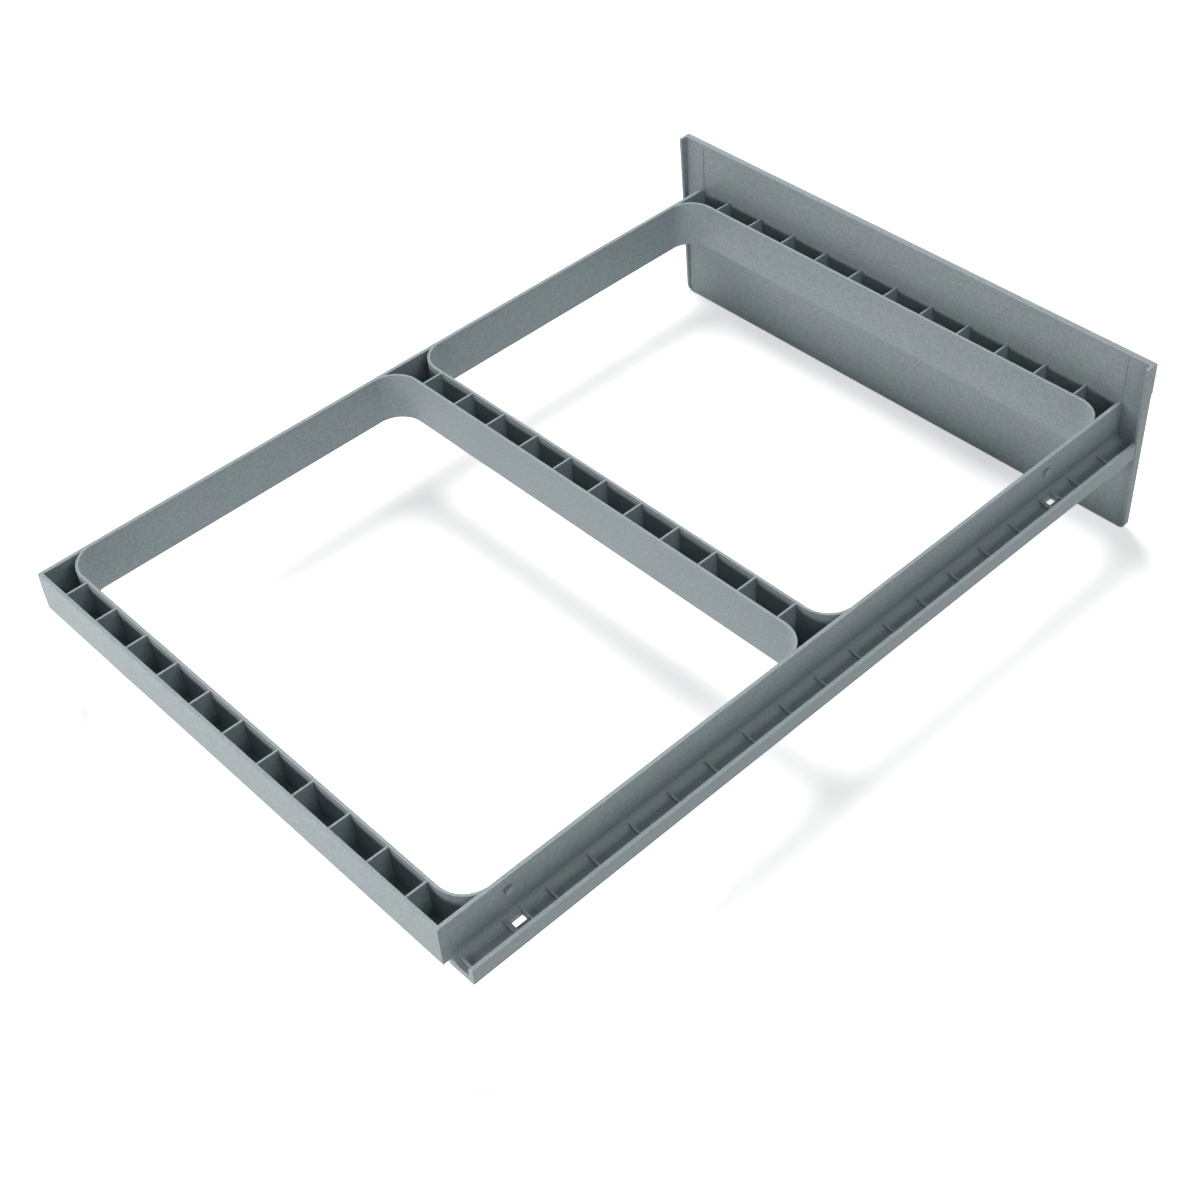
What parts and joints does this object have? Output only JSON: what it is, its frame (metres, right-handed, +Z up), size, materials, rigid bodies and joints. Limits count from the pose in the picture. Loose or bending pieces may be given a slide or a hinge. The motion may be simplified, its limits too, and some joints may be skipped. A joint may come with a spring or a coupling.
{
  "type": "pull-out bin frame",
  "caption": "Shallow ribbed plastic frame with rounded openings for hanging waste bins, runner channels along its sides and a tall front panel.",
  "frame": {"origin": "middle of the bounding box, at the lower edge of the front panel", "axes": "+Y from the front panel to the rear rail, +Z up, +X to the right seen from the front"},
  "size_m": [0.371, 0.522, 0.1235],
  "materials": {
    "grey_plastic": "mid grey moulded plastic with a fine, slightly mottled matt grain"
  },
  "bodies": {
    "root": {"front_panel": "grey_plastic", "panel_top_band": "grey_plastic", "panel_fins": "grey_plastic", "left_end_flange": "grey_plastic", "right_end_flange": "grey_plastic", "left_side_wall": "grey_plastic", "right_side_wall": "grey_plastic", "rear_rail_outer_wall": "grey_plastic", "rear_rail_inner_wall": "grey_plastic", "rear_rail_floor": "grey_plastic", "rear_rail_ribs": "grey_plastic", "middle_rail_rear_wall": "grey_plastic", "middle_rail_front_wall": "grey_plastic", "middle_rail_floor": "grey_plastic", "middle_rail_ribs": "grey_plastic", "front_rail_wall": "grey_plastic", "front_rail_floor": "grey_plastic", "front_rail_ribs": "grey_plastic", "rear_opening_corners": "grey_plastic", "front_opening_corners": "grey_plastic", "left_channel_floor": "grey_plastic", "right_channel_floor": "grey_plastic", "left_channel_lip": "grey_plastic", "right_channel_lip": "grey_plastic", "left_channel_sill": "grey_plastic", "right_channel_sill": "grey_plastic", "left_channel_gussets": "grey_plastic", "right_channel_gussets": "grey_plastic", "left_wall_pips": "grey_plastic", "right_wall_pips": "grey_plastic"}
  },
  "joints": []
}
